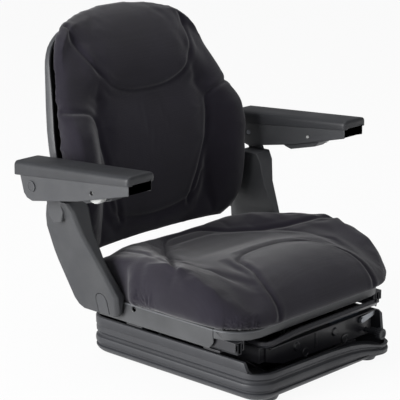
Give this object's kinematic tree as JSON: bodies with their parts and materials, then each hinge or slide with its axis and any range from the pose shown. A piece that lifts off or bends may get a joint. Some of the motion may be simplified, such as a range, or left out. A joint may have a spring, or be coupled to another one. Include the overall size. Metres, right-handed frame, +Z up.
{
  "type": "tractor suspension seat",
  "caption": "Cushioned tractor seat with bucket backrest and armrests on slide rails over a low scissor suspension in a moulded tub base.",
  "frame": {"origin": "on the mounting plane, in the middle of the four mounting holes in the tub's floor", "axes": "+Z up, the occupant faces -Y, +X is on the occupant's left"},
  "size_m": [0.66, 0.5882, 0.647],
  "materials": {
    "tub_plastic": "fine grained dark moulded plastic",
    "black_steel": "satin black paint",
    "bare_steel": "dull zinc plating",
    "pan_steel": "satin grey-black paint",
    "cover_plastic": "fine grained grey plastic",
    "arm_foam": "skinned foam with a soft sheen",
    "charcoal_fabric": "woven charcoal cloth with sewn seams",
    "white_nylon": "natural nylon",
    "wheel_plastic": "light grey plastic"
  },
  "bodies": {
    "base": {"base_tub": "tub_plastic", "lower_frame": "black_steel", "rear_lower_pivot_rod": "bare_steel", "damper_lower_pin": "bare_steel"},
    "outer_arms": {"outer_scissor_arms": "black_steel", "upper_glide_rod": "bare_steel", "upper_glide_left": "white_nylon", "upper_glide_right": "white_nylon", "centre_pin_left": "bare_steel", "centre_pin_right": "bare_steel"},
    "inner_arms": {"inner_scissor_arms": "black_steel", "lower_glide_rod": "bare_steel", "lower_glide_left": "white_nylon", "lower_glide_right": "white_nylon"},
    "damper_body": {"damper_tube": "black_steel"},
    "damper_rod": {"damper_piston_rod": "bare_steel"},
    "upper_frame": {"upper_frame": "black_steel", "rear_upper_pivot_rod": "bare_steel", "damper_upper_pin": "bare_steel", "front_panel": "black_steel", "height_lever_pin": "bare_steel", "lower_rail_left": "bare_steel", "lower_rail_right": "bare_steel", "weight_spring_left": "bare_steel", "weight_spring_right": "bare_steel"},
    "adjuster": {"weight_knob": "tub_plastic", "weight_spindle": "bare_steel"},
    "spring_anchor": {"spring_anchor_bar": "black_steel"},
    "lever": {"height_lever": "bare_steel"},
    "seat": {"upper_rail_left": "pan_steel", "upper_rail_right": "pan_steel", "seat_pan": "pan_steel", "seat_cushion": "charcoal_fabric", "handle_pin_left": "bare_steel", "handle_pin_right": "bare_steel", "recline_hinge_left": "bare_steel", "recline_hinge_right": "bare_steel"},
    "handle": {"slide_handle": "black_steel"},
    "backrest": {"side_bracket_left": "cover_plastic", "side_bracket_right": "cover_plastic", "hinge_cover_left": "cover_plastic", "hinge_cover_right": "cover_plastic", "backrest_shell": "cover_plastic", "backrest_frame": "black_steel", "backrest_cushion": "charcoal_fabric", "armrest_pivot_left": "bare_steel", "armrest_pivot_right": "bare_steel"},
    "armrest_left": {"armrest_body_left": "cover_plastic", "armrest_pad_left": "arm_foam", "armrest_cap_left": "cover_plastic"},
    "armrest_right": {"armrest_body_right": "cover_plastic", "armrest_pad_right": "arm_foam", "armrest_cap_right": "cover_plastic"},
    "wheel_left": {"tilt_wheel_left": "wheel_plastic"},
    "wheel_right": {"tilt_wheel_right": "wheel_plastic"}
  },
  "joints": [
    {"name": "suspension_lift", "type": "slide", "parent": "base", "child": "upper_frame", "axis": [0, 0, 1], "range_m": [0, 0.06], "deforming": ["weight_spring_left", "weight_spring_right"]},
    {"name": "outer_arms_swing", "type": "hinge", "parent": "base", "child": "outer_arms", "pos_m": [0, 0.165, 0.0183], "axis": [-1, 0, 0], "range_deg": [0, 12.6]},
    {"name": "inner_arms_swing", "type": "hinge", "parent": "upper_frame", "child": "inner_arms", "pos_m": [0, 0.165, 0.0723], "axis": [1, 0, 0], "range_deg": [0, 12.6]},
    {"name": "damper_tube_swing", "type": "hinge", "parent": "base", "child": "damper_body", "pos_m": [0, -0.082, 0.02], "axis": [1, 0, 0], "range_deg": [0, 15.6]},
    {"name": "damper_rod_swing", "type": "hinge", "parent": "upper_frame", "child": "damper_rod", "pos_m": [0, 0.11, 0.066], "axis": [1, 0, 0], "range_deg": [0, 15.6]},
    {"name": "weight_knob_turn", "type": "hinge", "parent": "upper_frame", "child": "adjuster", "pos_m": [0.165, -0.176, 0.046], "axis": [0, 1, 0], "range_deg": [0, 1800]},
    {"name": "spring_tension", "type": "slide", "parent": "upper_frame", "child": "spring_anchor", "axis": [0, -1, 0], "range_m": [0, 0.01]},
    {"name": "height_lever_turn", "type": "hinge", "parent": "upper_frame", "child": "lever", "pos_m": [0.148, -0.15, 0.07], "axis": [0, 1, 0], "range_deg": [-4, 30]},
    {"name": "seat_slide", "type": "slide", "parent": "upper_frame", "child": "seat", "axis": [0, -1, 0], "range_m": [-0.075, 0.075]},
    {"name": "handle_lift", "type": "hinge", "parent": "seat", "child": "handle", "pos_m": [0, -0.095, 0.102], "axis": [-1, 0, 0], "range_deg": [0, 4], "stiffness_Nm_per_rad": 6, "springref_deg": -8.59},
    {"name": "backrest_recline", "type": "hinge", "parent": "seat", "child": "backrest", "pos_m": [0, 0.165, 0.122], "axis": [-1, 0, 0], "range_deg": [-5, 25]},
    {"name": "armrest_left_lift", "type": "hinge", "parent": "backrest", "child": "armrest_left", "pos_m": [0.281, 0.245, 0.353], "axis": [-1, 0, 0], "range_deg": [0, 85]},
    {"name": "armrest_right_lift", "type": "hinge", "parent": "backrest", "child": "armrest_right", "pos_m": [-0.281, 0.245, 0.353], "axis": [-1, 0, 0], "range_deg": [0, 85]},
    {"name": "tilt_wheel_left_turn", "type": "hinge", "parent": "armrest_left", "child": "wheel_left", "pos_m": [0.311, 0.088, 0.368], "axis": [1, 0, 0], "range_deg": [-180, 180]},
    {"name": "tilt_wheel_right_turn", "type": "hinge", "parent": "armrest_right", "child": "wheel_right", "pos_m": [-0.311, 0.088, 0.368], "axis": [1, 0, 0], "range_deg": [-180, 180]}
  ],
  "couplings": [
    {"joint": "outer_arms_swing", "follows": "suspension_lift", "rad_per_m": 3.6117},
    {"joint": "inner_arms_swing", "follows": "suspension_lift", "rad_per_m": 3.6117},
    {"joint": "damper_tube_swing", "follows": "suspension_lift", "rad_per_m": 4.4882},
    {"joint": "damper_rod_swing", "follows": "suspension_lift", "rad_per_m": 4.4882},
    {"joint": "weight_knob_turn", "follows": "spring_tension", "rad_per_m": 3141.6}
  ]
}
